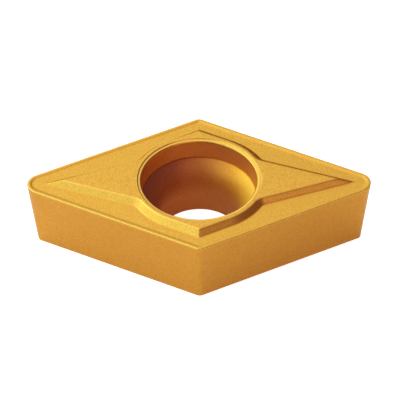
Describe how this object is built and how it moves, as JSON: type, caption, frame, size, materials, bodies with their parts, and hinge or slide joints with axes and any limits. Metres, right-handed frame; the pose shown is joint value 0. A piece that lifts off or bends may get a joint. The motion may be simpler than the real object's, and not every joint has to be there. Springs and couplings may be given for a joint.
{
  "type": "carbide insert",
  "caption": "Rhombic turning insert with a pressed chip groove, tapered flanks and a countersunk hole for its clamping screw.",
  "frame": {"origin": "on the hole axis, in the plane of the seating face", "axes": "+Z along the hole axis out of the cutting side, +X along the long diagonal towards a nose, Y along the short diagonal"},
  "size_m": [0.0188, 0.0106, 0.0042],
  "materials": {
    "coated_carbide": "satin gold nitride coating over cemented carbide"
  },
  "bodies": {
    "root": {"insert": "coated_carbide"}
  },
  "joints": []
}
